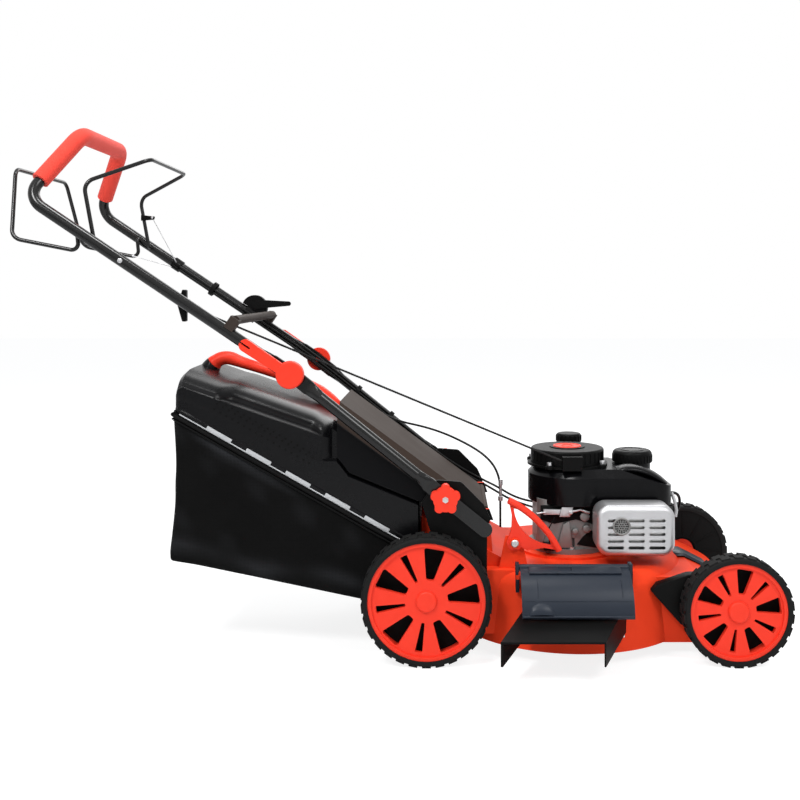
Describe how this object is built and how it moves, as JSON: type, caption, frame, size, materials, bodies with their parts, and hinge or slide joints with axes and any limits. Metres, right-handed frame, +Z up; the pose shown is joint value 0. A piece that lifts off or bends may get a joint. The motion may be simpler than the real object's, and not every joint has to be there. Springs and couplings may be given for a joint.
{
  "type": "walk-behind lawn mower",
  "caption": "Petrol rotary mower with driven rear axle, folding tube handle with bails, rear grass bag, side discharge chute and cutting-height lever.",
  "frame": {"origin": "on the ground under the blade spindle, on the centre plane", "axes": "+X forward, +Y to the operator's left, +Z up"},
  "size_m": [1.7141, 0.672, 1.174],
  "materials": {
    "red_paint": "gloss red paint",
    "red_plastic": "moulded red",
    "tyre_rubber": "matt black rubber",
    "black_plastic": "grained black",
    "brown_gloss": "gloss dark grey-brown",
    "black_gloss": "gloss black",
    "bag_mesh": "woven black mesh",
    "black_tube": "semi-gloss black powder coat",
    "red_foam": "matt red foam",
    "steel": "plain steel",
    "cast_alloy": "as-cast alloy"
  },
  "bodies": {
    "deck_body": {"deck": "red_paint", "side_chute": "black_plastic", "handle_brackets": "black_tube", "fasteners": "steel", "engine_block": "cast_alloy", "engine_cowl": "black_plastic", "recoil_housing": "black_plastic", "fuel_tank": "black_plastic", "muffler": "steel", "muffler_guard": "steel", "carburettor": "cast_alloy", "air_filter": "black_plastic", "spark_plug": "steel", "height_bracket": "black_tube", "drive_belt": "black_plastic", "starter_rope": "black_plastic", "control_cables": "black_plastic"},
    "rotor": {"crankshaft": "steel", "flywheel": "cast_alloy", "blade": "steel", "blade_mount": "steel"},
    "front_axle_body": {"front_axle": "steel"},
    "rear_axle_body": {"rear_axle": "steel", "gearbox": "cast_alloy", "drive_shaft": "steel"},
    "front_right_wheel": {"front_right_tyre": "tyre_rubber", "front_right_rim": "red_plastic", "front_right_wheel_cover": "black_plastic"},
    "front_left_wheel": {"front_left_tyre": "tyre_rubber", "front_left_rim": "red_plastic", "front_left_wheel_cover": "black_plastic"},
    "rear_right_wheel": {"rear_right_tyre": "tyre_rubber", "rear_right_rim": "red_plastic", "rear_right_wheel_cover": "black_plastic"},
    "rear_left_wheel": {"rear_left_tyre": "tyre_rubber", "rear_left_rim": "red_plastic", "rear_left_wheel_cover": "black_plastic"},
    "height_lever_body": {"height_lever": "red_plastic"},
    "lower_handle_body": {"lower_handle": "black_tube"},
    "upper_handle_body": {"upper_handle": "black_tube", "grip": "red_foam", "handle_brace": "black_tube", "throttle_housing": "black_plastic", "rope_guide": "steel"},
    "stop_bail_body": {"stop_bail": "black_tube"},
    "drive_bail_body": {"drive_bail": "black_tube"},
    "throttle_lever_body": {"throttle_lever": "black_plastic"},
    "starter_handle_body": {"starter_handle": "black_plastic"},
    "star_knob_right_body": {"star_knob_right": "red_plastic"},
    "star_knob_left_body": {"star_knob_left": "red_plastic"},
    "cam_lever_right_body": {"cam_lever_right": "red_plastic"},
    "cam_lever_left_body": {"cam_lever_left": "red_plastic"},
    "side_flap_body": {"side_flap": "black_plastic"},
    "rear_flap_body": {"rear_flap": "brown_gloss"},
    "bag_body": {"bag_cover": "black_gloss", "bag_fabric": "bag_mesh", "bag_frame": "black_tube", "bag_handle": "red_plastic"},
    "fuel_cap_body": {"fuel_cap": "black_plastic"},
    "oil_cap_body": {"oil_cap": "black_plastic"}
  },
  "joints": [
    {"name": "rotor_spin", "type": "hinge", "parent": "deck_body", "child": "rotor", "pos_m": [0, 0, 0.1], "axis": [0, 0, 1], "continuous": true},
    {"name": "height_lever_swing", "type": "hinge", "parent": "deck_body", "child": "height_lever_body", "pos_m": [-0.139, -0.186, 0.245], "axis": [0, -1, 0], "range_deg": [0, 40]},
    {"name": "front_axle_swing", "type": "hinge", "parent": "deck_body", "child": "front_axle_body", "pos_m": [0.29353, 0, 0.0955], "axis": [0, 1, 0], "range_deg": [0, 60]},
    {"name": "rear_axle_swing", "type": "hinge", "parent": "deck_body", "child": "rear_axle_body", "pos_m": [-0.29353, 0, 0.1175], "axis": [0, -1, 0], "range_deg": [0, 60], "deforming": ["drive_belt"]},
    {"name": "front_right_wheel_roll", "type": "hinge", "parent": "front_axle_body", "child": "front_right_wheel", "pos_m": [0.3325, -0.255, 0.118], "axis": [0, 1, 0], "continuous": true},
    {"name": "front_left_wheel_roll", "type": "hinge", "parent": "front_axle_body", "child": "front_left_wheel", "pos_m": [0.3325, 0.255, 0.118], "axis": [0, 1, 0], "continuous": true},
    {"name": "rear_right_wheel_roll", "type": "hinge", "parent": "rear_axle_body", "child": "rear_right_wheel", "pos_m": [-0.3325, -0.255, 0.14], "axis": [0, 1, 0], "continuous": true},
    {"name": "rear_left_wheel_roll", "type": "hinge", "parent": "rear_axle_body", "child": "rear_left_wheel", "pos_m": [-0.3325, 0.255, 0.14], "axis": [0, 1, 0], "continuous": true},
    {"name": "handle_tilt", "type": "hinge", "parent": "deck_body", "child": "lower_handle_body", "pos_m": [-0.292, 0, 0.352], "axis": [0, 1, 0], "range_deg": [0, 12], "deforming": ["control_cables", "starter_rope"]},
    {"name": "handle_fold", "type": "hinge", "parent": "lower_handle_body", "child": "upper_handle_body", "pos_m": [-0.6268, 0, 0.62119], "axis": [0, 1, 0], "range_deg": [0, 135], "deforming": ["control_cables", "starter_rope"]},
    {"name": "stop_bail_swing", "type": "hinge", "parent": "upper_handle_body", "child": "stop_bail_body", "pos_m": [-1.06365, 0, 0.91418], "axis": [0, -1, 0], "range_deg": [0, 38], "deforming": ["control_cables"]},
    {"name": "drive_bail_swing", "type": "hinge", "parent": "upper_handle_body", "child": "drive_bail_body", "pos_m": [-1.0977, 0, 0.93702], "axis": [0, 1, 0], "range_deg": [0, 28], "deforming": ["control_cables"]},
    {"name": "throttle_swing", "type": "hinge", "parent": "upper_handle_body", "child": "throttle_lever_body", "pos_m": [-0.78726, 0.2354, 0.76614], "axis": [0, -1, 0], "range_deg": [0, 60]},
    {"name": "starter_pull", "type": "slide", "parent": "upper_handle_body", "child": "starter_handle_body", "axis": [-0.5, 0, 0.866], "range_m": [0, 0.6], "deforming": ["starter_rope"]},
    {"name": "star_knob_right_turn", "type": "hinge", "parent": "lower_handle_body", "child": "star_knob_right_body", "pos_m": [-0.292, -0.226, 0.352], "axis": [0, 1, 0], "range_deg": [0, 180]},
    {"name": "star_knob_left_turn", "type": "hinge", "parent": "lower_handle_body", "child": "star_knob_left_body", "pos_m": [-0.292, 0.226, 0.352], "axis": [0, 1, 0], "range_deg": [0, 180]},
    {"name": "cam_lever_right_swing", "type": "hinge", "parent": "upper_handle_body", "child": "cam_lever_right_body", "pos_m": [-0.6268, -0.226, 0.62119], "axis": [0, -1, 0], "range_deg": [0, 110]},
    {"name": "cam_lever_left_swing", "type": "hinge", "parent": "upper_handle_body", "child": "cam_lever_left_body", "pos_m": [-0.6268, 0.226, 0.62119], "axis": [0, -1, 0], "range_deg": [0, 110]},
    {"name": "side_flap_swing", "type": "hinge", "parent": "deck_body", "child": "side_flap_body", "pos_m": [0, -0.238, 0.204], "axis": [-1, 0, 0], "range_deg": [0, 70]},
    {"name": "rear_flap_swing", "type": "hinge", "parent": "deck_body", "child": "rear_flap_body", "pos_m": [-0.20196, 0, 0.30489], "axis": [0, 1, 0], "range_deg": [0, 55]},
    {"name": "bag_pull", "type": "slide", "parent": "deck_body", "child": "bag_body", "axis": [-1, 0, 0], "range_m": [0, 0.7]},
    {"name": "fuel_cap_turn", "type": "hinge", "parent": "deck_body", "child": "fuel_cap_body", "pos_m": [0.16, 0.022, 0.398], "axis": [0, 0, 1], "range_deg": [0, 120]},
    {"name": "oil_cap_turn", "type": "hinge", "parent": "deck_body", "child": "oil_cap_body", "pos_m": [0.02, 0.134, 0.42], "axis": [0, 0, 1], "range_deg": [0, 90]}
  ],
  "couplings": [
    {"joint": "front_axle_swing", "follows": "height_lever_swing", "ratio": 1.5},
    {"joint": "rear_axle_swing", "follows": "height_lever_swing", "ratio": 1.5}
  ]
}
